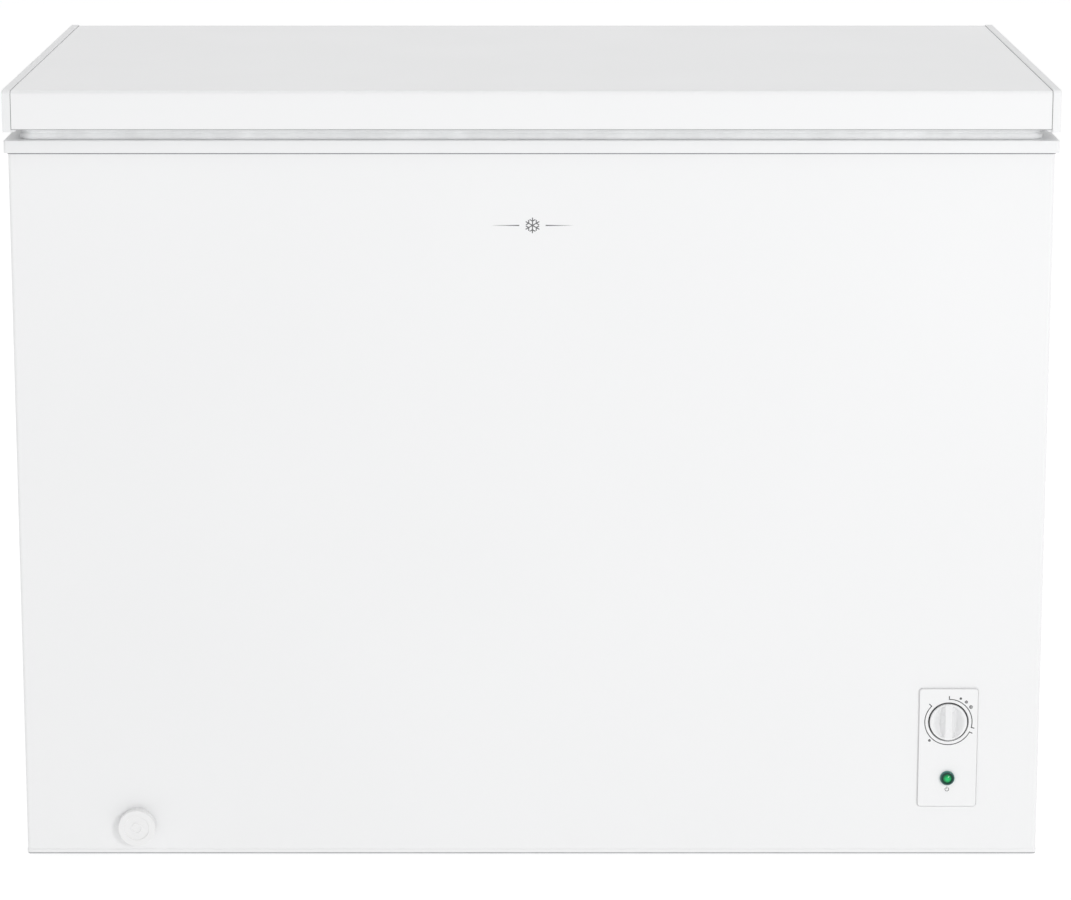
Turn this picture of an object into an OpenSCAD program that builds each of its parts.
// A free-standing chest freezer with a hinged lid, at real size.
// Millimetres, +Z up. The origin is on the floor, under the middle of the overall box.
// The front faces -Y, so the control panel and the drain are on the -Y side.

/* [Cabinet] */
// Overall width, across the rim
overall_w = 1117; // [1050:1:1250]
// Overall depth, from the lid's front to the back of the hinges
overall_d = 640; // [620:1:700]
// Overall height, to the top of the lid's end caps
overall_h = 857; // [830:1:900]
// Height of the feet under the shell
foot_h = 12; // [11:1:20]
// How far the lid stands out in front of the shell
lid_overhang = 11; // [10:1:14]
// Thickness of the outer steel sheets
sheet = 0.8; // [0.6:0.1:1.0]
// Thickness of the front and back walls, from outside face to liner
wall = 59; // [55:1:70]
// Thickness of each side wall, from outside face to liner
side_wall = 61.5; // [55:0.5:75]
// Thickness of the bottom, from the shell's lower edge to the liner's floor
floor_wall = 63; // [58:1:75]

/* [Storage space] */
// Width of the step that covers the machine bay
step_w = 241; // [230:1:260]
// Height of the step above the liner's floor
step_h = 210; // [205:1:260]
// Radius of the liner's upright corners
liner_r = 24; // [15:1:40]
// Thickness of the liner
liner_t = 1; // [0.8:0.1:1.5]

/* [Rim and seal] */
// How far the rim's lip stands out from the shell
rim_lip = 4; // [3.5:0.5:5]
// Height of the rim's lip
rim_h = 13.4; // [12:0.2:16]
// Space between the rim's top and the lid's lower edge
seal_gap = 12.6; // [12:0.2:14]
// Width of the seal
seal_w = 15; // [13:1:17]
// How far the seal is set in from the lid's edge
seal_inset = 15; // [14:1:17]
// Width of the ledge that the basket hangs on
ledge_w = 20; // [18:1:24]

/* [Lid] */
// Height of the lid's steel panel
lid_h = 41; // [38:1:50]
// Radius of the panel's long upper edges
lid_r = 4; // [3:0.5:8]
// Width of each end cap
cap_w = 9; // [8:0.5:14]
// How far the end caps hang below the panel
cap_drop = 3; // [2:0.5:3]
// How deep the lid's plug reaches below the rim's top
plug_depth = 19.4; // [15:0.2:22]
// Widest opening of the lid, in degrees
lid_open = 78; // [60:1:80]

/* [Hinges] */
// Distance of each hinge from the middle
hinge_x = 360; // [280:5:420]
// How far the hinges stand out behind the lid
hinge_reach = 28; // [28:0.5:32]
// Radius of the hinge pins
pin_r = 3; // [2.5:0.5:4]
// Length of the lever that the spring plunger pushes on
lever = 12; // [11:0.5:12.5]
// Coils in each hinge spring
spring_turns = 9; // [6:1:12]

/* [Controls] */
// Distance of the control panel from the middle
panel_x = 455; // [420:1:470]
// Height of the control panel's middle above the floor
panel_z = 132.5; // [125:0.5:140]
// Width of the control panel
panel_w = 65; // [64:1:75]
// Height of the control panel
panel_h = 135; // [130:1:150]
// Thickness of the control panel
panel_t = 2.5; // [2:0.5:3]
// Height of the knob's axis above the panel's middle
knob_up = 29.5; // [25:0.5:32]
// Radius of the thermostat knob
knob_r = 20.4; // [18:0.2:20.6]
// Clearance between the knob and its well
knob_gap = 1.2; // [0.6:0.1:1.4]
// How far the lamp's axis is below the panel's middle
lamp_down = 34.2; // [30:0.2:40]
// Radius of the lamp's lens
lamp_r = 8; // [6:0.5:9]

/* [Drain] */
// Distance of the drain from the middle, to the left
drain_x = 433; // [400:1:450]
// Height of the drain's axis above the floor
drain_z = 43; // [40:1:48]
// Radius of the drain cap
drain_cap_r = 20.3; // [19:0.1:22]

/* [Basket] */
// Width of the basket
basket_w = 252; // [200:1:260]
// Depth of the basket below its rim
basket_h = 195; // [120:5:230]
// Thickness of the basket's thin wires
wire = 3; // [2.5:0.5:4]
// Thickness of the basket's rim wire
rim_wire = 6; // [5:0.5:7]

/* [Hidden] */
$fn = 48;

// Gap left between pieces that touch in the real object
touch = 0.1;
// Extra length that a cutting shape passes through a face
past = 1;

// Front to back: everything follows from the lid's front edge at -overall_d / 2
lid_front = -overall_d / 2;
lid_back = overall_d / 2 - hinge_reach;
shell_front = lid_front + lid_overhang;
shell_back = lid_back - 3;
rim_front = shell_front - rim_lip;
rim_back = shell_back + 2;
liner_front = shell_front + wall;
liner_back = shell_back - wall;
// Side to side
rim_x = overall_w / 2;
shell_x = rim_x - rim_lip;
lid_x = rim_x - 0.5;
liner_x = shell_x - side_wall;
step_x = liner_x - step_w;
// Floor to top
lid_top = overall_h - 1;
lid_low = lid_top - lid_h;
rim_top = lid_low - seal_gap;
rim_low = rim_top - rim_h;
shell_low = foot_h;
shell_top = rim_top - 5.4;
liner_floor = shell_low + floor_wall;
step_top = liner_floor + step_h;
ledge_top = rim_top - 15.4;
liner_top = ledge_top - 2.6;
// Machine bay, under the step
bay_x = step_x + 63;
bay_top = step_top - 62;
// Insides of the shell's sheets
in_x = shell_x - sheet;
in_front = shell_front + sheet;
in_back = shell_back - sheet;
in_low = shell_low + sheet;

// Plan outlines as [x0, x1, y0, y1, corner radius]
shell_plan = [-shell_x, shell_x, shell_front, shell_back, 3.5];
inside_plan = [-in_x, in_x, in_front, shell_back + 20, 3.5 - sheet];
liner_plan = [-liner_x, liner_x, liner_front, liner_back, liner_r];
well_plan = [-liner_x, step_x, liner_front, liner_back, liner_r];
rim_plan = [-rim_x, rim_x, rim_front, rim_back, 3];
mouth_plan = [-liner_x + 2.5, liner_x - 2.5, liner_front + 2.5, liner_back - 2.5, liner_r - 2.5];
seal_plan = [-lid_x + seal_inset, lid_x - seal_inset, lid_front + seal_inset + 0.5,
             lid_back - seal_inset, 12];

// Coil spaces on either side of the foam
condenser_r = 2.4;
evaporator_r = 3.7;
condenser_space = 6.5;
evaporator_space = 9.5;

// Hinge geometry, about a pin behind the cabinet
hinge_back = overall_d / 2;
pin_y = hinge_back - 10;
pin_z = rim_top - 2.4;
eye_r = 7;
nose_r = 2.5;
lever_low = -lid_open / 2;
plunger_top = pin_z + lever * sin(lever_low) - nose_r - 0.6;
plunger_stem = 22;
plunger_foot = 8;
housing_low = pin_z - 145;
housing_x = 17.5;
plate_t = 1.5;
arm_t = 2.5;
arm_z = lid_low - touch - arm_t;
spring_y = hinge_back - 15.5;
spring_low = housing_low + 2.1;
spring_top = plunger_top - plunger_stem - plunger_foot - touch;

// Control panel planes and axes
panel_front = shell_front - panel_t;
knob_z = panel_z + knob_up;
lamp_z = panel_z - lamp_down;
well_r = knob_r + knob_gap;
well_back = shell_front + 16;
knob_face = panel_front - 2;
shaft_r = 3;

// Compressor, on the machine bay's deck
deck_t = 1.5;
deck_top = shell_low + deck_t;
comp_x = (bay_x + in_x) / 2 - 4;
comp_y = shell_back - 190;
comp_r = 70;
comp_mount_x = 65;
comp_mount_y = 75;

// Drain
drain_y = liner_front + 55;
nozzle_r = 12.5;
drain_bore_r = 9.5;

// Basket, hung from the ledge at the right end
basket_x1 = liner_x - 15;
basket_x0 = basket_x1 - basket_w;
basket_front = liner_front + 10;
basket_back = liner_back - 10;
basket_top = ledge_top - 11;
basket_low = basket_top - basket_h;

// ---------- shared shapes ----------

// A box between two opposite corners
module block(x0, x1, y0, y1, z0, z1) {
    translate([x0, y0, z0]) cube([x1 - x0, y1 - y0, z1 - z0]);
}

// Points along an arc, from angle a0 to angle a1
function arc(x, y, r, a0, a1, n = 6) =
    [for (i = [0:n]) let (a = a0 + (a1 - a0) * i / n) [x + r * cos(a), y + r * sin(a)]];

// Outline of a rectangle with round corners
function outline(b) = concat(
    arc(b[1] - b[4], b[3] - b[4], b[4], 0, 90),
    arc(b[0] + b[4], b[3] - b[4], b[4], 90, 180),
    arc(b[0] + b[4], b[2] + b[4], b[4], 180, 270),
    arc(b[1] - b[4], b[2] + b[4], b[4], 270, 360));

// The same rectangle, larger by d all round
function grown(b, d) = [b[0] - d, b[1] + d, b[2] - d, b[3] + d, max(b[4] + d, 0.5)];

// An upright solid on a round-cornered plan
module prism(b, z0, z1) {
    translate([0, 0, z0]) linear_extrude(z1 - z0) polygon(outline(b));
}

// A frame between two plans
module ring(outer, inner, z0, z1) {
    difference() {
        prism(outer, z0, z1);
        prism(inner, z0 - past, z1 + past);
    }
}

// An outline in Y and Z, carried along X
module along_x(x0, x1) {
    translate([x0, 0, 0]) rotate([90, 0, 90]) linear_extrude(x1 - x0) children();
}

// An outline in X and Z, carried along Y
module along_y(y0, y1) {
    translate([0, y1, 0]) rotate([90, 0, 0]) linear_extrude(y1 - y0) children();
}

// A round bar along X, Y or Z
module bar_x(x0, x1, y, z, r) {
    translate([x0, y, z]) rotate([0, 90, 0]) cylinder(r = r, h = x1 - x0);
}

module bar_y(x, y0, y1, z, r) {
    translate([x, y0, z]) rotate([-90, 0, 0]) cylinder(r = r, h = y1 - y0);
}

module bar_z(x, y, z0, z1, r) {
    translate([x, y, z0]) cylinder(r = r, h = z1 - z0);
}

// A turned shape about an axis along Y; its profile is [radius, distance forward of y]
module turned_y(x, y, z) {
    translate([x, y, z]) rotate([90, 0, 0]) rotate_extrude() children();
}

// ---------- swept tubes ----------

function unit(v) = v / norm(v);
function heading(p, i) = unit(p[min(i + 1, len(p) - 1)] - p[max(i - 1, 0)]);
function squared(n, t) = unit(n - (n * t) * t);

// A normal for each point, carried along the path without twist
function normals(p, first) = [
    for (i = 0, n = squared(first, heading(p, 0));
         i < len(p);
         i = i + 1, n = squared(n, heading(p, min(i, len(p) - 1)))) n];

// A path with each inner corner replaced by a smooth bend
function bent(p, r, n = 3) = [
    for (i = [0:len(p) - 1])
        if (i == 0 || i == len(p) - 1) p[i]
        else let (a = p[i] + unit(p[i - 1] - p[i]) * r, b = p[i] + unit(p[i + 1] - p[i]) * r)
            for (k = [0:n]) let (t = k / n) (1 - t) * (1 - t) * a + 2 * t * (1 - t) * p[i] + t * t * b];

// A round tube of radius r that follows a path
module tube(path, r, first, sides = 8) {
    count = len(path);
    side_normals = normals(path, first);
    points = [for (i = [0:count - 1])
        let (t = heading(path, i), n = side_normals[i], b = cross(t, n))
        for (k = [0:sides - 1]) path[i] + r * (cos(360 * k / sides) * n + sin(360 * k / sides) * b)];
    walls = [for (i = [0:count - 2], k = [0:sides - 1])
        let (a = i * sides + k, b = i * sides + (k + 1) % sides)
        each [[a, a + sides, b], [b, a + sides, b + sides]]];
    start = [[for (k = [0:sides - 1]) k]];
    end = [[for (k = [sides - 1:-1:0]) (count - 1) * sides + k]];
    polyhedron(points, concat(walls, start, end));
}

// ---------- cabinet ----------

// Steel wrapped round the front and both sides
module outer_shell() {
    color("white") difference() {
        prism(shell_plan, shell_low, shell_top);
        prism(inside_plan, shell_low - past, shell_top + past);
        block(-shell_x - past, shell_x + past, in_back, shell_back + past, shell_low - past, shell_top + past);
        block(panel_x - panel_w / 2 + 5, panel_x + panel_w / 2 - 5, shell_front - past, in_front + past,
              panel_z - panel_h / 2 + 5, panel_z + panel_h / 2 - 5);
        bar_y(-drain_x, shell_front - past, in_front + past, drain_z, 15);
        block(in_x - past, shell_x + past, vent_y0 + 8, vent_y1 - 8, vent_z0 + 8, vent_z1 - 8);
    }
}

cover_x0 = bay_x + 8;
cover_x1 = in_x - 8;
cover_z0 = shell_low + 8;
cover_z1 = bay_top - 7;

// Galvanised sheet across the back, open behind the machine bay
module rear_panel() {
    color("lightgray") difference() {
        block(-in_x + touch, in_x - touch, in_back + touch, shell_back, in_low + touch, shell_top);
        block(cover_x0 + 14, cover_x1 - 14, in_back - past, shell_back + past, cover_z0 + 14, cover_z1 - 14);
        cover_screw_places() bar_y(0, in_back - past, shell_back + past, 0, 1.9);
        hinge_screw_places() bar_y(0, in_back - past, shell_back + past, 0, 2.1);
    }
}

// Sheet under the insulated part, with its edges turned up
module base_pan() {
    color("lightgray") difference() {
        intersection() {
            block(-in_x, bay_x - sheet - touch, in_front, in_back, shell_low, shell_low + 12);
            prism(grown(inside_plan, -touch), 0, shell_top);
        }
        block(-in_x + touch + sheet, bay_x - 2 * sheet - touch, in_front + touch + sheet, in_back - sheet,
              in_low, shell_low + 12 + past);
        foot_places(-1) bar_z(0, 0, shell_low - past, in_low + past, 4.5);
    }
}

// Hairline seams between the liner's sheets: beside each upright corner, and round the floor and the step
module liner_seams() {
    top = liner_top + past;
    for (y = [liner_front, liner_back]) {
        for (x = [-liner_x + liner_r, step_x - liner_r])
            block(x, x + touch, y - 20, y + 20, liner_floor, top);
        block(liner_x - liner_r, liner_x - liner_r + touch, y - 20, y + 20, step_top, top);
    }
    for (y = [liner_front + liner_r, liner_back - liner_r]) {
        block(-liner_x - 20, -liner_x + past, y, y + touch, liner_floor, top);
        block(liner_x - past, liner_x + 20, y, y + touch, step_top, top);
        block(step_x - past, step_x + liner_t + past, y, y + touch, liner_floor, step_top - liner_t);
    }
    block(-liner_x - past, step_x + 2 * past, liner_front - 2 * past, liner_back + 2 * past,
          liner_floor, liner_floor + touch);
    for (z = [step_top - liner_t - touch, step_top])
        block(step_x - liner_r, liner_x + 2 * past, liner_front - 2 * past, liner_back + 2 * past, z, z + touch);
}

// The cold space's lining of seamed sheets, with the step at the right
module inner_liner() {
    color("aliceblue") difference() {
        union() {
            prism(grown(well_plan, liner_t), liner_floor - liner_t, liner_top);
            prism(grown(liner_plan, liner_t), step_top - liner_t, liner_top);
            prism(grown(liner_plan, 14), liner_top - liner_t, liner_top);
        }
        prism(well_plan, liner_floor, liner_top + past);
        prism(liner_plan, step_top, liner_top + past);
        bar_z(-drain_x, drain_y, liner_floor - 2 * past, liner_floor + past, 11.2);
        liner_seams();
    }
}

// Rigid foam that fills the walls, cast round the liner and clear of both coils
module insulation_foam() {
    foam_top = liner_top - liner_t - touch;
    foam_low = shell_low + 1.6;
    color("khaki") difference() {
        prism([-in_x + condenser_space, in_x - condenser_space, in_front + condenser_space,
               in_back - touch, 16], foam_low, foam_top);
        prism(grown(well_plan, evaporator_space), liner_floor - liner_t - touch, foam_top + past);
        prism(grown(liner_plan, evaporator_space), step_top - liner_t - touch, foam_top + past);
        block(bay_x - sheet - touch, in_x, in_front, in_back + past, 0, bay_top + sheet + touch);
        bar_z(-drain_x, drain_y, foam_low - past, liner_floor, 11.1);
        bar_y(-drain_x, in_front, drain_y + 12.2, drain_z, nozzle_r + touch);
        foot_places(-1) bar_z(0, 0, foam_low - past, foam_low + 14, 9);
        for (y = pipe_holes) bar_z(pipe_hole_x, y, bay_top, step_top + past, 4.5);
        block(-in_x, bay_x, in_front + condenser_space - past, in_front + 9, foam_low - past, shell_low + 14);
        block(-in_x, bay_x, in_back - 3, in_back + past, foam_low - past, shell_low + 14);
        block(-in_x, -in_x + 9, in_front, in_back + past, foam_low - past, shell_low + 14);
        block(bay_x - 5, bay_x, in_front, in_back + past, foam_low - past, shell_low + 14);
    }
}

// Frame round the mouth, of four mitred profiles: outer lip, seal seat, basket ledge and inner skirt
module top_frame() {
    step_edge = grown(mouth_plan, ledge_w);
    skirt_in = [-rim_x + 2.5, rim_x - 2.5, rim_front + 2.5, shell_back + touch, 2];
    color("white") difference() {
        union() {
            ring(rim_plan, skirt_in, rim_low, rim_top);
            ring(grown(skirt_in, 0.2), grown(shell_plan, touch), rim_low, rim_low + 1.5);
            ring(rim_plan, step_edge, rim_top - 2.5, rim_top);
            ring(grown(step_edge, 2.5), step_edge, ledge_top - 2.5, rim_top);
            ring(grown(step_edge, 2.5), mouth_plan, ledge_top - 2.5, ledge_top);
            ring(grown(mouth_plan, 2), mouth_plan, ledge_top - 15, ledge_top);
        }
        for (sx = [-1, 1], sy = [-1, 1])
            translate([sx * mouth_plan[1], sy < 0 ? mouth_plan[2] : mouth_plan[3], ledge_top - 20])
                rotate([0, 0, atan2(sy, sx)]) translate([-30, -touch / 2, 0]) cube([150, touch, 60]);
    }
}

// ---------- machine bay ----------

vent_y0 = shell_back - 259;
vent_y1 = shell_back - 59;
vent_z0 = shell_low + 30;
vent_z1 = shell_low + 170;
pipe_hole_x = liner_x + liner_t + evaporator_space / 2 + 0.4;
pipe_holes = [-200, -170, 190];

// Folded sheet that closes the foam off from the bay
module machine_bay_panel() {
    color("silver") difference() {
        intersection() {
            block(bay_x - sheet, in_x, in_front, in_back, deck_top + touch, bay_top + sheet);
            prism(grown(inside_plan, -touch), 0, shell_top);
        }
        block(bay_x, in_x + past, in_front - past, in_back + past, 0, bay_top);
        for (y = pipe_holes) bar_z(pipe_hole_x, y, bay_top - past, bay_top + 2 * past, 4.5);
        for (y = [-100, 60]) bar_z(in_x - 3.3, y, bay_top - past, bay_top + 2 * past, 3);
    }
}

// Steel plate that closes the bay's floor and carries the compressor
module compressor_deck() {
    color("silver") difference() {
        union() {
            intersection() {
                block(bay_x - sheet, in_x, in_front, in_back, shell_low, deck_top);
                prism(grown(inside_plan, -touch), 0, shell_top);
            }
            block(in_x - touch - deck_t, in_x - touch, comp_y - 110, comp_y + 110, shell_low, deck_top + 14);
        }
        comp_places() bar_z(0, 0, shell_low - past, deck_top + past, 4.2);
        foot_places(1) bar_z(0, 0, shell_low - past, deck_top + past, 4.5);
        for (y = [-220:30:-40]) block(bay_x + 50, in_x - 90, y, y + 10, shell_low - past, deck_top + past);
    }
}

module comp_places() {
    for (sx = [-1, 1], sy = [-1, 1])
        translate([comp_x + sx * comp_mount_x, comp_y + sy * comp_mount_y, 0]) children();
}

// Sealed steel can on a pressed base plate
module compressor() {
    low = deck_top + 18;
    can = concat(
        [[0, low]],
        arc(comp_r - 28, low + 28, 28, -90, 0, 8),
        [[comp_r, low + 78], [comp_r + 4, low + 79], [comp_r + 4, low + 84], [comp_r, low + 85]],
        arc(comp_r - 45, low + 115, 45, 0, 90, 10),
        [[0, low + 160]]);
    color("dimgray") difference() {
        union() {
            translate([comp_x, comp_y, 0]) rotate_extrude($fn = 64) polygon(can);
            prism([comp_x - 80, comp_x + 80, comp_y - 90, comp_y + 90, 12], deck_top + 8.5, deck_top + 11.5);
            for (sx = [-1, 1], sy = [-1, 1])
                bar_z(comp_x + sx * 30, comp_y + sy * 30, deck_top + 10, low + 12, 7);
            bar_z(comp_x - 35, comp_y + 20, low + 120, low + 162, 5);
        }
        comp_places() bar_z(0, 0, deck_top, deck_top + 20, 8);
    }
}

// Rubber bushes between the base plate and the deck
module compressor_grommets() {
    color("black") comp_places() translate([0, 0, deck_top]) rotate_extrude()
        polygon([[4.1, 0], [12, 0], [12, 8.4], [7.9, 8.4], [7.9, 11.6], [11, 11.6], [10, 16], [4.1, 16]]);
}

// Bolts up through the deck, with their nuts
module compressor_bolts() {
    color("silver") comp_places() union() {
        bar_z(0, 0, shell_low - 4, deck_top + 24, 4);
        translate([0, 0, shell_low - 4]) cylinder(r = 7.5, h = 4 - touch, $fn = 6);
        translate([0, 0, deck_top + 16 + touch]) cylinder(r = 7.5, h = 5, $fn = 6);
    }
}

// Starting relay and overload cover, clipped to the compressor's terminals
module starter_relay() {
    y1 = comp_y - comp_r - 5;
    color("black") union() {
        block(comp_x - 26, comp_x + 26, y1 - 26, y1, deck_top + 45, deck_top + 112);
        bar_y(comp_x, y1 - 34, y1 - 26, deck_top + 92, 12);
        block(comp_x - 32, comp_x - 26, y1 - 20, y1 - 6, deck_top + 60, deck_top + 96);
    }
}

drier_x = bay_x + 32;
drier_y = comp_y - 185;

// Copper filter on the way to the capillary
module filter_drier() {
    color("peru") translate([drier_x, drier_y, deck_top + 40]) rotate_extrude()
        polygon([[0, 0], [3, 0], [3, 12], [9.5, 22], [9.5, 92], [3.6, 102], [3.6, 112], [0, 112]]);
}

// Copper lines between the compressor, the coils and the filter
module refrigerant_pipes() {
    top = deck_top + 178;
    color("peru") {
        tube(bent([[comp_x - 35, comp_y + 20, top + 6], [comp_x - 35, comp_y + 20, top + 22],
                   [comp_x - 35, comp_y + 84, top + 22], [comp_x + 60, comp_y + 84, top - 60],
                   [in_x - 14, comp_y + 60, top - 20], [in_x - 14, 60, top], [in_x - 3.3, 60, bay_top - 24],
                   [in_x - 3.3, 60, bay_top + 12]], 10), condenser_r, [1, 0, 0]);
        tube(bent([[in_x - 3.3, -100, bay_top + 12], [in_x - 3.3, -100, bay_top - 26],
                   [in_x - 30, -120, bay_top - 30], [drier_x, drier_y - 20, bay_top - 30],
                   [drier_x, drier_y, bay_top - 42], [drier_x, drier_y, deck_top + 152.5]], 9),
             condenser_r, [1, 0, 0]);
        tube(bent([[drier_x, drier_y, deck_top + 39.5], [drier_x, drier_y, deck_top + 24],
                   [drier_x + 24, drier_y - 60, deck_top + 24], [pipe_hole_x - 20, -200 + 30, deck_top + 60],
                   [pipe_hole_x, -200, bay_top - 60], [pipe_hole_x, -200, bay_top + 14]], 12), 1.5, [0, 1, 0]);
        tube(bent([[pipe_hole_x, 190, bay_top + 14], [pipe_hole_x, 190, bay_top - 40],
                   [comp_x + 40, comp_y + 92, top - 80], [comp_x - 40, comp_y + 92, top - 80],
                   [comp_x - 66, comp_y + 60, top - 84], [comp_x - 56, comp_y + 46, top - 84]], 12),
             3.6, [0, 1, 0]);
    }
}

// Skin condenser: one tube to and fro inside the left, front and right walls
module condenser_coil() {
    x = in_x - condenser_space / 2;
    y0 = in_front + condenser_space / 2;
    y1 = in_back - 60;
    rise = 84;
    low = bay_top + 24;
    levels = 6;
    corners = [for (k = [0:levels - 1]) let (z = low + k * rise, s = k % 2 == 0 ? 1 : -1)
        each [[s * x, y1, z], [s * x, y0, z], [-s * x, y0, z], [-s * x, y1, z]]];
    color("peru") tube(bent(corners, 18), condenser_r, [0, 0, 1]);
}

// Evaporator: a tube wound round the liner
module evaporator_coil() {
    b = grown(liner_plan, liner_t + evaporator_space / 2 - 0.5);
    rise = 72;
    low = step_top + 34;
    turns = 6;
    corners = [for (k = [0:turns - 1]) let (z = low + k * rise)
        each [[b[1], b[2], z], [b[0], b[2], z], [b[0], b[3], z], [b[1], b[3], z + rise]]];
    path = concat([[b[1], -100, low]], corners, [[b[1], -100, low + turns * rise]]);
    color("silver") tube(bent(path, 34.5, 6), evaporator_r, [0, 0, 1]);
}

// Louvred grille in the right side
module side_vent_grille() {
    slots = 13;
    pitch = (vent_y1 - vent_y0 - 28) / slots;
    color("whitesmoke") difference() {
        union() {
            translate([shell_x, 0, 0]) rotate([90, 0, 90]) linear_extrude(2.4)
                polygon(outline([vent_y0, vent_y1, vent_z0, vent_z1, 6]));
            block(in_x - 6, shell_x + 1, vent_y0 + 9, vent_y1 - 9, vent_z0 + 9, vent_z1 - 9);
        }
        for (i = [0:slots - 1], j = [0, 1])
            block(in_x - 6 - past, shell_x + 3 + past, vent_y0 + 14 + i * pitch, vent_y0 + 14 + i * pitch + 7,
                  vent_z0 + 16 + j * 58, vent_z0 + 66 + j * 58);
    }
}

module cover_screw_places() {
    for (x = [cover_x0 + 7, (cover_x0 + cover_x1) / 2, cover_x1 - 7], z = [cover_z0 + 7, cover_z1 - 7])
        translate([x, 0, z]) children();
}

cord_x = cover_x0 + 34;
cord_z = cover_z0 + 30;

// Louvred plate over the back of the bay
module rear_service_cover() {
    color("gray") difference() {
        union() {
            block(cover_x0, cover_x1, shell_back + touch, shell_back + 1.3, cover_z0, cover_z1);
            for (z = [cover_z0 + 70:16:cover_z1 - 30], s = [0, 1])
                block(cover_x0 + 24 + s * 96, cover_x0 + 104 + s * 96, shell_back + touch, shell_back + 4, z, z + 3);
        }
        for (z = [cover_z0 + 64:16:cover_z1 - 36], s = [0, 1])
            block(cover_x0 + 24 + s * 96, cover_x0 + 104 + s * 96, shell_back - past, shell_back + 5, z, z + 5.8);
        cover_screw_places() bar_y(0, shell_back - past, shell_back + 3, 0, 1.9);
        bar_y(cord_x, shell_back - past, shell_back + 3, cord_z, 9);
    }
}

module cover_screws() {
    color("silver") cover_screw_places() union() {
        bar_y(0, in_back + 0.05, shell_back + 2, 0, 1.8);
        turned_y(0, shell_back + 1.3 + 2.2, 0) polygon([[0, 0], [2, 0], [3.4, 1.2], [3.6, 2.1], [0, 2.1]]);
    }
}

// Rubber gland that the mains lead comes out of
module cord_grommet() {
    color("black") turned_y(cord_x, shell_back + 9, cord_z)
        polygon([[3.6, 0], [6, 0], [8, 3], [12, 5.6], [12, 7.6], [8.8, 7.6], [8.8, 9.1], [11, 9.1], [11, 11], [3.6, 11]]);
}

// ---------- controls ----------

// Plate over the cut-out, with a round well for the knob
module control_panel() {
    x0 = panel_x - panel_w / 2;
    z0 = panel_z - panel_h / 2;
    color("white") difference() {
        union() {
            along_y(panel_front + 0.8, shell_front - touch / 2)
                polygon(outline([x0, x0 + panel_w, z0, z0 + panel_h, 4]));
            along_y(panel_front, panel_front + 0.8)
                polygon(outline([x0 + 0.8, x0 + panel_w - 0.8, z0 + 0.8, z0 + panel_h - 0.8, 3.2]));
            bar_y(panel_x, panel_front + 0.8, well_back + 2, knob_z, well_r + 1.8);
        }
        bar_y(panel_x, panel_front - past, well_back, knob_z, well_r);
        bar_y(panel_x, well_back - past, well_back + 2 + past, knob_z, shaft_r + 0.6);
        bar_y(panel_x, panel_front - past, shell_front + past, lamp_z, 6.5);
    }
}

// Plastic box behind the panel
module control_box() {
    w = well_r + 3;
    z0 = panel_z - panel_h / 2 + 7;
    z1 = panel_z + panel_h / 2 - 7;
    y1 = shell_front + 50;
    color("whitesmoke") difference() {
        block(panel_x - w - 2, panel_x + w + 2, shell_front + touch, y1, z0, z1);
        block(panel_x - w, panel_x + w, shell_front, y1 - 2, z0 + 2, z1 - 2);
        bar_y(panel_x, y1 - 3, y1 + past, panel_z - 10, 5.2);
        bar_y(panel_x + 14, y1 - 3, y1 + past, knob_z - 8, 2.4);
    }
}

// Capillary thermostat behind the knob's well
module thermostat_body() {
    y0 = well_back + 2 + touch;
    color("gainsboro") difference() {
        union() {
            block(panel_x - 19, panel_x + 19, y0 + 2, y0 + 22, knob_z - 16, knob_z + 16);
            bar_y(panel_x, y0, y0 + 3, knob_z, 9);
            for (z = [-10, 0, 10]) block(panel_x - 14, panel_x - 6, y0 + 22, y0 + 27, knob_z + z - 0.5, knob_z + z + 0.5);
        }
        bar_y(panel_x, y0 - past, y0 + 14, knob_z, shaft_r + 0.05);
    }
}

// Thin tube and bulb that reach the liner's side
module sensing_tube() {
    y0 = well_back + 2 + touch + 22.6;
    color("peru") union() {
        tube(bent([[panel_x + 14, y0, knob_z - 8], [panel_x + 14, shell_front + 70, knob_z - 8],
                   [pipe_hole_x - 12, shell_front + 78, knob_z + 20], [pipe_hole_x, -172, bay_top - 22],
                   [pipe_hole_x, -170, bay_top - 6], [pipe_hole_x, -170, step_top + 14]], 8),
             1.1, [0, 0, 1]);
    }
}

// Green lens of the running lamp, pushed in from the front
module lamp_lens() {
    color("green") turned_y(panel_x, panel_front, lamp_z) polygon(concat(
        [[0, -12], [6.4, -12], [6.4, 0.05], [lamp_r, 0.05], [lamp_r, 1.2]],
        arc(lamp_r - 1.6, 1.6, 1.6, 20, 90, 4),
        [[lamp_r - 2.6, 3.2], [lamp_r - 3.1, 2.5]],
        [for (k = [0:5]) let (r = (lamp_r - 3.1) * (1 - k / 5)) [r, 2.5 + 1.9 * (1 - pow(r / (lamp_r - 3.1), 2))]]));
}

// Lamp body with its two terminals
module lamp_holder() {
    y0 = panel_front + 12 + touch;
    color("ivory") union() {
        bar_y(panel_x, y0, y0 + 18, lamp_z, 6.4);
        for (x = [-3, 3]) block(panel_x + x - 1.6, panel_x + x + 1.6, y0 + 17, y0 + 25, lamp_z - 0.4, lamp_z + 0.4);
    }
}

// Sleeved wires from the control box to the compressor's relay
module wiring_harness() {
    y0 = shell_front + 49;
    color("black") tube(bent([[panel_x, y0, panel_z - 10], [panel_x, y0 + 30, panel_z - 14],
                              [panel_x - 40, y0 + 90, deck_top + 20], [comp_x + 20, comp_y - 150, deck_top + 16],
                              [comp_x, comp_y - 146, deck_top + 92],
                              [comp_x, comp_y - comp_r - 39.2, deck_top + 92]],
                             16), 4, [0, 0, 1]);
}

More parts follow.
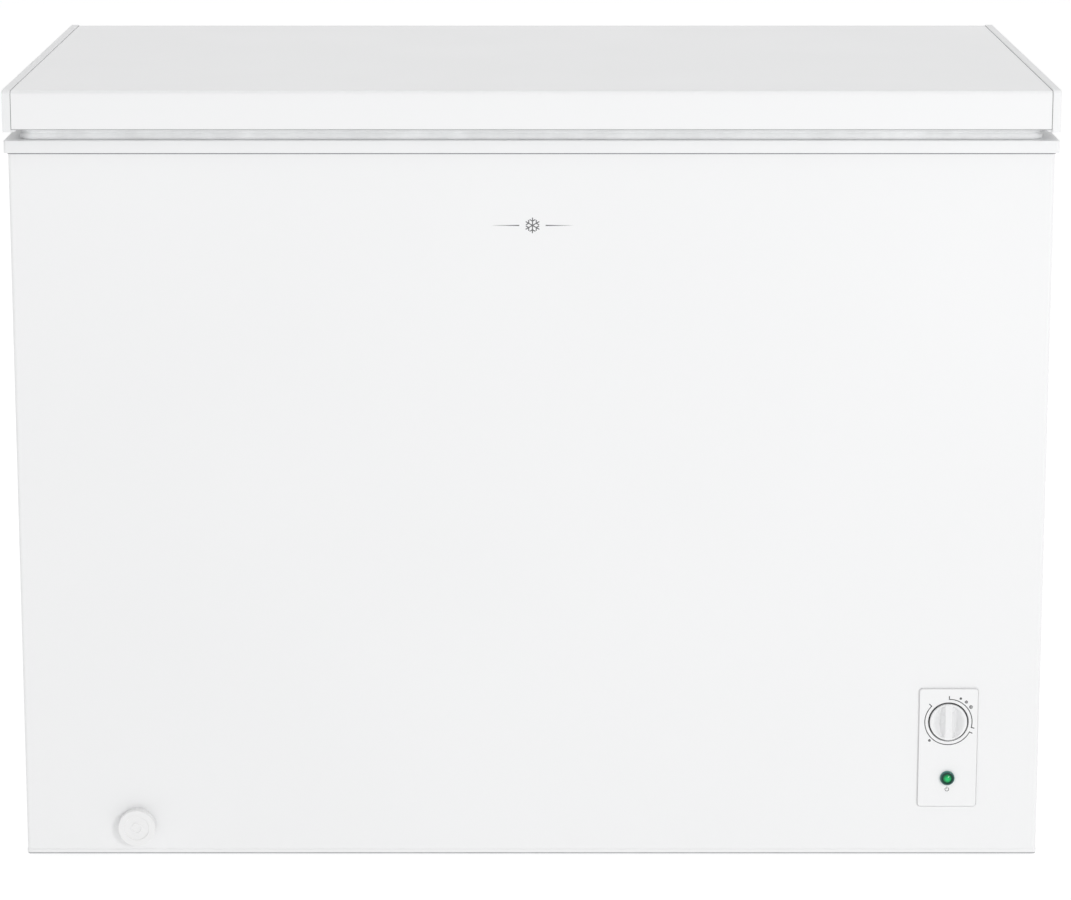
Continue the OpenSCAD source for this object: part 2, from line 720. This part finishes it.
// Knob: a shallow dish crossed by a drafted grip
module thermostat_knob() {
    dish = 9;
    rim = knob_r - 1;
    dish_r = (rim * rim + dish * dish) / (2 * dish);
    grip_front = knob_face - 1;
    color("white") difference() {
        union() {
            difference() {
                turned_y(panel_x, knob_face, knob_z) polygon([[0, -12.5], [knob_r, -12.5], [knob_r, -0.9],
                                                              [knob_r - 0.6, 0], [0, 0]]);
                translate([panel_x, knob_face - dish_r + dish, knob_z]) sphere(r = dish_r, $fn = 96);
            }
            intersection() {
                bar_y(panel_x, grip_front, knob_face + 11, knob_z, knob_r - 0.7);
                translate([panel_x, 0, knob_z - knob_r]) linear_extrude(2 * knob_r)
                    polygon([[-4.2, grip_front], [4.2, grip_front], [12.2, knob_face + 10], [-12.2, knob_face + 10]]);
            }
            bar_y(panel_x, knob_face + 12, knob_face + 18.5, knob_z, 6);
            difference() {
                bar_y(panel_x, knob_face + 12, knob_face + 15.5, knob_z, knob_r);
                bar_y(panel_x, knob_face + 11, knob_face + 16.5, knob_z, knob_r - 1.8);
            }
        }
        bar_y(panel_x, knob_face + 6, knob_face + 20, knob_z, shaft_r + 0.02);
        block(panel_x - 0.6, panel_x + 0.6, grip_front - past, grip_front + 0.5, knob_z + knob_r - 6, knob_z + knob_r - 2.8);
    }
}

module thermostat_shaft() {
    color("silver") bar_y(panel_x, knob_face + 6.2, well_back + 14, knob_z, shaft_r);
}

// ---------- drain ----------

// Elbow from the liner's floor to the front
module drain_tube() {
    color("white") difference() {
        union() {
            bar_z(-drain_x, drain_y, liner_floor + touch / 2, liner_floor + 1.2, 18);
            bar_z(-drain_x, drain_y, drain_z, liner_floor + 1, 11);
            bar_y(-drain_x, in_front + 7, drain_y + 12, drain_z, 12);
        }
        bar_z(-drain_x, drain_y, drain_z, liner_floor + 3, 9);
        bar_y(-drain_x, in_front, drain_y + 9, drain_z, drain_bore_r);
    }
}

// Threaded nozzle with a collar on the shell's face
module drain_spout() {
    color("white") turned_y(-drain_x, shell_front, drain_z)
        polygon([[drain_bore_r, -7.7], [nozzle_r, -7.7], [nozzle_r, 0.05], [drain_cap_r - 0.3, 0.05],
                 [drain_cap_r - 0.3, 1.2], [nozzle_r, 1.2], [nozzle_r, 7.6], [nozzle_r - 0.6, 8.2], [drain_bore_r, 8.2]]);
}

// Cap pushed over the nozzle, with a recessed face
module drain_cap() {
    face = lid_overhang;
    color("white") turned_y(-drain_x, shell_front, drain_z) polygon(concat(
        [[nozzle_r + 0.3, 1.5], [drain_cap_r, 1.5]],
        arc(drain_cap_r - 1, face - 1, 1, 0, 90, 4),
        [[13.6, face], [13.2, face - 0.8], [6.4, face - 0.8], [6, face - 0.2], [5, face - 0.2], [4.6, face - 0.9],
         [0, face - 0.9], [0, 8.6], [nozzle_r + 0.3, 8.6]]));
}

// Rubber plug in the liner's floor, with a pull tab
module drain_stopper() {
    color("dimgray") union() {
        translate([-drain_x, drain_y, liner_floor]) rotate_extrude()
            polygon([[0, -12], [8, -12], [8.8, -10], [8.8, 1.5], [14, 1.5], [14, 3], [12.5, 4], [0, 4]]);
        difference() {
            bar_x(-drain_x - 2, -drain_x + 2, drain_y, liner_floor + 8, 8);
            bar_x(-drain_x - 3, -drain_x + 3, drain_y, liner_floor + 9, 4);
            block(-drain_x - 3, -drain_x + 3, drain_y - 9, drain_y + 9, liner_floor - 2, liner_floor + 3);
        }
    }
}

// ---------- feet ----------

module foot_places(side) {
    for (y = [shell_front + 62, shell_back - 62]) translate([side * (shell_x - 54), y, 0]) children();
}

module feet() {
    color("dimgray") for (side = [-1, 1]) foot_places(side) rotate_extrude()
        polygon([[4.2, 4], [8, 4], [8, 0], [19, 0], [20, 1], [20, 6], [15, foot_h - touch], [4.2, foot_h - touch]]);
}

module foot_screws() {
    color("silver") for (side = [-1, 1]) foot_places(side) union() {
        translate([0, 0, 0.5]) cylinder(r = 7, h = 3.4, $fn = 6);
        bar_z(0, 0, 3, deck_top + 8.5, 4);
        translate([0, 0, deck_top + touch]) cylinder(r = 7, h = 6, $fn = 6);
    }
}

// ---------- lid ----------

// The steel panel's profile, set in by d from its outer face
function lid_edge(d) = concat(
    [[lid_front + 12.6, lid_low + d], [lid_front + 0.6 + d, lid_low + d]],
    arc(lid_front + 0.6 + lid_r, lid_top - lid_r, lid_r - d, 180, 90),
    arc(lid_back - 0.6 - lid_r, lid_top - lid_r, lid_r - d, 90, 0),
    [[lid_back - 0.6 - d, lid_low + d], [lid_back - 12.6, lid_low + d]]);

function reversed(p) = [for (i = [len(p) - 1:-1:0]) p[i]];

panel_end = lid_x - cap_w;

// Steel folded down at the front and back and hemmed inwards
module lid_outer_panel() {
    color("white") difference() {
        along_x(-panel_end, panel_end) polygon(concat(lid_edge(0), reversed(lid_edge(sheet))));
        lid_screw_places() bar_z(0, 0, lid_low - past, lid_low + 2, 2.1);
    }
}

// Outline of an end cap in Y and Z, set in by d
function cap_edge(d) = concat(
    arc(lid_front + 1.5, lid_low - cap_drop + 1.5, 1.5 - min(d, 1), 180, 270, 3),
    arc(lid_back - 1.5, lid_low - cap_drop + 1.5, 1.5 - min(d, 1), 270, 360, 3),
    arc(lid_back - 4.5, overall_h - 4.5, 4.5 - d, 0, 90),
    arc(lid_front + 4.5, overall_h - 4.5, 4.5 - d, 90, 180));

// Moulded cap over one end of the lid; its tongue fits inside the panel
module lid_end_cap(side) {
    tongue = 1.6 + sheet;
    mirror([side < 0 ? 1 : 0, 0, 0]) color("white") difference() {
        union() {
            along_x(panel_end + touch, lid_x) polygon(cap_edge(0));
            along_x(panel_end - 8, panel_end + 2) polygon([
                [lid_front + tongue, lid_low + 3], [lid_front + tongue, lid_top - tongue],
                [lid_back - tongue, lid_top - tongue], [lid_back - tongue, lid_low + 3]]);
            block(panel_end - 4.5, panel_end + 2, lid_front + 2, lid_back - 2, lid_low - 2.4, lid_low - touch);
        }
        along_x(panel_end - 9, lid_x - 2.4) polygon([
            [lid_front + tongue + 2, lid_low + 2], [lid_front + tongue + 2, lid_top - tongue - 2],
            [lid_back - tongue - 2, lid_top - tongue - 2], [lid_back - tongue - 2, lid_low + 2]]);
    }
}

lid_liner_z = lid_low + sheet + touch;
lid_liner_t = 1.2;
plug_plan = grown(mouth_plan, -10);
plug_step_plan = grown(mouth_plan, 14);
plug_low = rim_top - plug_depth;
plug_step_z = rim_top + 3.6;

// Vacuum-formed lining under the lid, with a stepped plug
module lid_inner_liner() {
    t = lid_liner_t;
    color("white") difference() {
        union() {
            block(-panel_end + 0.2, panel_end - 0.2, lid_front + 1.6, lid_back - 1.6, lid_liner_z, lid_liner_z + t);
            prism(plug_step_plan, plug_step_z, lid_liner_z + t);
            prism(plug_plan, plug_low, lid_liner_z + t);
        }
        prism(grown(plug_step_plan, -t), plug_step_z + t, lid_liner_z + 2 * t);
        prism(grown(plug_plan, -t), plug_low + t, lid_liner_z + 2 * t);
        for (i = [-1, 0, 1])
            translate([i * 310, 0, 0]) prism([-130, 130, plug_plan[2] + 60, plug_plan[3] - 60, 18],
                                             plug_low - past, plug_low + 0.5);
    }
}

// Foam between the steel panel and the lid's lining, in three layers
module lid_insulation() {
    t = lid_liner_t + touch;
    color("khaki") {
        along_x(-panel_end + 8.2, panel_end - 8.2) polygon([
            [lid_front + 1.6, lid_liner_z + t], [lid_front + 1.6, lid_top - sheet - lid_r],
            [lid_front + 0.6 + lid_r, lid_top - sheet - touch], [lid_back - 0.6 - lid_r, lid_top - sheet - touch],
            [lid_back - 1.6, lid_top - sheet - lid_r], [lid_back - 1.6, lid_liner_z + t]]);
        prism(grown(plug_step_plan, -t), plug_step_z + t, lid_liner_z + t - touch);
        prism(grown(plug_plan, -t), plug_low + t, plug_step_z + t - touch);
    }
}

seal_low = rim_top + 0.3;
seal_high = lid_liner_z - touch;

// Hollow seal: a soft bulb on the rim, a bellows neck and a flat base
module lid_gasket() {
    mid = grown(seal_plan, -seal_w / 2);
    color("gainsboro") difference() {
        union() {
            ring(seal_plan, grown(seal_plan, -seal_w), seal_low, seal_low + 5.4);
            ring(grown(mid, 3.5), grown(mid, -3.5), seal_low + 5.3, seal_high - 3);
            ring(grown(mid, 6.5), grown(mid, -6.5), seal_low + 7.2, seal_low + 8.2);
            ring(grown(mid, 7), grown(mid, -7), seal_high - 3.1, seal_high);
        }
        ring(grown(mid, 5.6), grown(mid, -5.6), seal_low + 0.9, seal_low + 4.5);
        ring(grown(mid, 2), grown(mid, -2), seal_low + 6.4, seal_high - 1.6);
    }
}

// Magnet strips inside the seal's bulb
module gasket_magnets() {
    mid = grown(seal_plan, -seal_w / 2);
    z0 = seal_low + 1.2;
    color("dimgray") {
        for (y = [mid[2], mid[3]]) block(mid[0] + 20, mid[1] - 20, y - 4, y + 4, z0, z0 + 2.8);
        for (x = [mid[0], mid[1]]) block(x - 4, x + 4, mid[2] + 20, mid[3] - 20, z0, z0 + 2.8);
    }
}

// ---------- hinges ----------

module hinge_at(side) {
    translate([side * hinge_x, 0, 0]) children();
}

module hinge_screw_places() {
    for (side = [-1, 1], s = [-1, 1], z = [housing_low + 18, pin_z - 32])
        translate([side * hinge_x + s * (housing_x + 5.5), 0, z]) children();
}

module lid_screw_places() {
    for (side = [-1, 1], s = [-1, 0, 1]) translate([side * hinge_x + s * 24, lid_back - 6.6, 0]) children();
}

// Cheek of a housing, in Y and Z: upright, and round about the pin
function cheek_edge() = concat(
    [[hinge_back, housing_low], [hinge_back, pin_z - 19], [pin_y + 8.5, pin_z - 8]],
    arc(pin_y, pin_z, 8.5, 0, 90),
    [[rim_back + 1, pin_z + 8.5], [rim_back + 1, rim_low - 1.5], [shell_back + touch, rim_low - 1.5],
     [shell_back + touch, housing_low]]);

// Folded channel screwed to the back, which holds the pin, plunger and spring
module hinge_housing(side) {
    color("gainsboro") difference() {
        hinge_at(side) union() {
            block(-housing_x - 10.5, housing_x + 10.5, shell_back + touch, shell_back + touch + plate_t,
                  housing_low, rim_low - 1.5);
            for (x = [-housing_x, housing_x - plate_t]) along_x(x, x + plate_t) polygon(cheek_edge());
            block(-housing_x, housing_x, hinge_back - plate_t, hinge_back, housing_low, pin_z - 19);
            block(-housing_x, housing_x, shell_back + touch, hinge_back, housing_low, housing_low + 2);
        }
        hinge_at(side) bar_x(-30, 30, pin_y, pin_z, pin_r + 0.02);
        hinge_screw_places() bar_y(0, shell_back - past, shell_back + 4, 0, 2.1);
    }
}

// Pin with a head at each end
module hinge_pin(side) {
    color("silver") hinge_at(side) union() {
        bar_x(-housing_x - 2.5, housing_x + 2.5, pin_y, pin_z, pin_r);
        bar_x(-housing_x - 2.6, -housing_x - touch, pin_y, pin_z, pin_r + 2);
        bar_x(housing_x + touch, housing_x + 2.6, pin_y, pin_z, pin_r + 2);
    }
}

// Compression spring between the housing's floor and the plunger
module hinge_spring(side) {
    wire_r = 1.2;
    coil_r = 7.2;
    per_turn = 12;
    steps = spring_turns * per_turn;
    rise = spring_top - spring_low - 2 * wire_r - 0.2;
    path = [for (i = [0:steps]) let (a = 360 * i / per_turn)
        [side * hinge_x + coil_r * cos(a), spring_y + coil_r * sin(a), spring_low + 0.1 + wire_r + rise * i / steps]];
    color("silver") tube(path, wire_r, [0, 0, 1], 6);
}

// Plunger: a spring seat with a stem up to the arm's nose
module hinge_plunger(side) {
    foot_top = plunger_top - plunger_stem;
    color("dimgray") hinge_at(side) union() {
        block(-13.5, 13.5, shell_back + 3.5, hinge_back - 3.5, foot_top - plunger_foot, foot_top);
        block(-6.3, 6.3, pin_y - 16, pin_y - 8, foot_top - 1, plunger_top);
        block(-6.3, 6.3, pin_y - 14, pin_y - 8, foot_top - plunger_foot, foot_top + 1);
        bar_z(0, spring_y, foot_top - plunger_foot - 10, foot_top - 2, 5.2);
    }
}

// Arm: a flange under the lid with two lugs round the pin and a cross bar at the nose
module hinge_arm(side) {
    nose_y = pin_y + lever * cos(180 - lever_low);
    nose_z = pin_z + lever * sin(lever_low);
    away = atan2(nose_z - pin_z, nose_y - pin_y);
    spread = acos((eye_r - nose_r - 1) / lever);
    lever_edge = concat(
        arc(nose_y, nose_z, nose_r + 1, away - spread, away + spread, 8),
        arc(pin_y, pin_z, eye_r, away + spread, away - spread + 360, 16));
    neck = [[pin_y - 15.5, arm_z + arm_t], [pin_y - 15.5, arm_z - 1], [pin_y - 6.4, pin_z + 1],
            [pin_y, pin_z], [pin_y + 6.4, pin_z + 2.8], [pin_y - 5, arm_z + arm_t]];
    color("gainsboro") difference() {
        hinge_at(side) union() {
            block(-31, 31, lid_back - 13, pin_y - 5, arm_z, arm_z + arm_t);
            for (x = [-11, 8]) {
                along_x(x, x + 3) polygon(lever_edge);
                along_x(x, x + 3) polygon(neck);
            }
            bar_x(-10, 10, nose_y, nose_z, nose_r);
        }
        hinge_at(side) bar_x(-30, 30, pin_y, pin_z, pin_r + 0.06);
        lid_screw_places() bar_z(0, 0, arm_z - past, arm_z + arm_t + past, 2.1);
    }
}

module hinge_screws() {
    color("silver") hinge_screw_places() union() {
        bar_y(0, in_back + 0.05, shell_back + 3, 0, 2);
        turned_y(0, shell_back + touch + plate_t + 2.5, 0) polygon([[0, 0], [2.6, 0], [4, 1.4], [4.2, 2.4], [0, 2.4]]);
    }
}

module hinge_lid_screws() {
    color("silver") lid_screw_places() union() {
        bar_z(0, 0, arm_z - 1, lid_low + sheet + 0.05, 2);
        translate([0, 0, arm_z - 2.5]) rotate_extrude()
            polygon([[0, 0], [2.6, 0], [4, 1.2], [4.2, 2.4], [0, 2.4]]);
    }
}

// ---------- basket ----------

// Outline of the basket's rim in plan
basket_plan = [basket_x0, basket_x1, basket_front, basket_back, 14];

// Rim wire with four posts and two rails that rest on the ledge
module basket_rim() {
    rail_low = ledge_top + 0.3;
    color("white") union() {
        ring(basket_plan, grown(basket_plan, -rim_wire), basket_top - rim_wire, basket_top);
        for (x = [basket_x0 + 28, basket_x1 - 28 - rim_wire]) {
            block(x, x + rim_wire, basket_front - 5, basket_front + 2, basket_top + touch, rail_low + rim_wire);
            block(x, x + rim_wire, basket_back - 2, basket_back + 5, basket_top + touch, rail_low + rim_wire);
        }
        block(basket_x0 + 28, basket_x1 - 28, basket_front - 23, basket_front - 17, rail_low, rail_low + rim_wire);
        block(basket_x0 + 28, basket_x1 - 28, basket_back + 17, basket_back + 23, rail_low, rail_low + rim_wire);
        for (x = [basket_x0 + 28, basket_x1 - 28 - rim_wire]) {
            block(x, x + rim_wire, basket_front - 18, basket_front, rail_low, rail_low + rim_wire);
            block(x, x + rim_wire, basket_back, basket_back + 18, rail_low, rail_low + rim_wire);
        }
    }
}

grid_x0 = basket_x0 + 1.5;
grid_x1 = basket_x1 - 1.5;
grid_y0 = basket_front + 1.5;
grid_y1 = basket_back - 1.5;

// A flat grid of square wires: n openings across u and m across v
module grid(u, v, n, m) {
    du = (u - wire) / n;
    dv = (v - wire) / m;
    difference() {
        square([u, v]);
        for (i = [0:n - 1], j = [0:m - 1])
            translate([wire + i * du, wire + j * dv]) square([du - wire, dv - wire]);
    }
}

module basket_floor_grid() {
    color("white") translate([grid_x0, grid_y0, basket_low]) linear_extrude(wire)
        grid(grid_x1 - grid_x0, grid_y1 - grid_y0, 6, 14);
}

module basket_side_grids() {
    high = basket_top - rim_wire - touch - basket_low - wire - touch;
    color("white") for (y = [grid_y0, grid_y1 - wire])
        translate([grid_x0, y + wire, basket_low + wire + touch]) rotate([90, 0, 0]) linear_extrude(wire)
            grid(grid_x1 - grid_x0, high, 8, 4);
}

module basket_end_grids() {
    high = basket_top - rim_wire - touch - basket_low - wire - touch;
    color("white") for (x = [grid_x0, grid_x1 - wire])
        translate([x, grid_y0 + wire + touch, basket_low + wire + touch]) rotate([90, 0, 90]) linear_extrude(wire)
            grid(grid_y1 - grid_y0 - 2 * (wire + touch), high, 14, 4);
}

// Plastic sleeves on the rim wire's ends
module basket_grips() {
    mid = (basket_front + basket_back) / 2;
    z0 = basket_top - rim_wire - 2.5;
    color("lightblue") for (x = [basket_x0, basket_x1 - rim_wire]) difference() {
        block(x - 2.5, x + rim_wire + 2.5, mid - 45, mid + 45, z0, basket_top + 2.5);
        block(x - touch / 2, x + rim_wire + touch / 2, mid - 46, mid + 46,
              basket_top - rim_wire - touch / 2, basket_top + touch / 2);
        block(grid_x0 - 2, grid_x0 + wire + 2, mid - 46, mid + 46, z0 - 1, basket_top - rim_wire + touch);
        block(grid_x1 - wire - 2, grid_x1 + 2, mid - 46, mid + 46, z0 - 1, basket_top - rim_wire + touch);
    }
}

outer_shell();
rear_panel();
base_pan();
inner_liner();
insulation_foam();
top_frame();
machine_bay_panel();
compressor_deck();
compressor();
compressor_grommets();
compressor_bolts();
starter_relay();
filter_drier();
refrigerant_pipes();
condenser_coil();
evaporator_coil();
side_vent_grille();
rear_service_cover();
cover_screws();
cord_grommet();
control_panel();
control_box();
thermostat_body();
sensing_tube();
lamp_lens();
lamp_holder();
wiring_harness();
drain_tube();
drain_spout();
feet();
foot_screws();
hinge_housing(-1);  // hinge_housing_left
hinge_housing(1);  // hinge_housing_right
hinge_pin(-1);  // hinge_pin_left
hinge_pin(1);  // hinge_pin_right
hinge_spring(-1);  // hinge_spring_left
hinge_spring(1);  // hinge_spring_right
hinge_screws();
lid_outer_panel();
lid_end_cap(-1);  // lid_end_cap_left
lid_end_cap(1);  // lid_end_cap_right
lid_inner_liner();
lid_insulation();
lid_gasket();
gasket_magnets();
hinge_arm(-1);  // hinge_arm_left
hinge_arm(1);  // hinge_arm_right
hinge_lid_screws();
hinge_plunger(-1);  // hinge_plunger_left
hinge_plunger(1);  // hinge_plunger_right
thermostat_knob();
thermostat_shaft();
drain_cap();
drain_stopper();
basket_rim();
basket_floor_grid();
basket_side_grids();
basket_end_grids();
basket_grips();
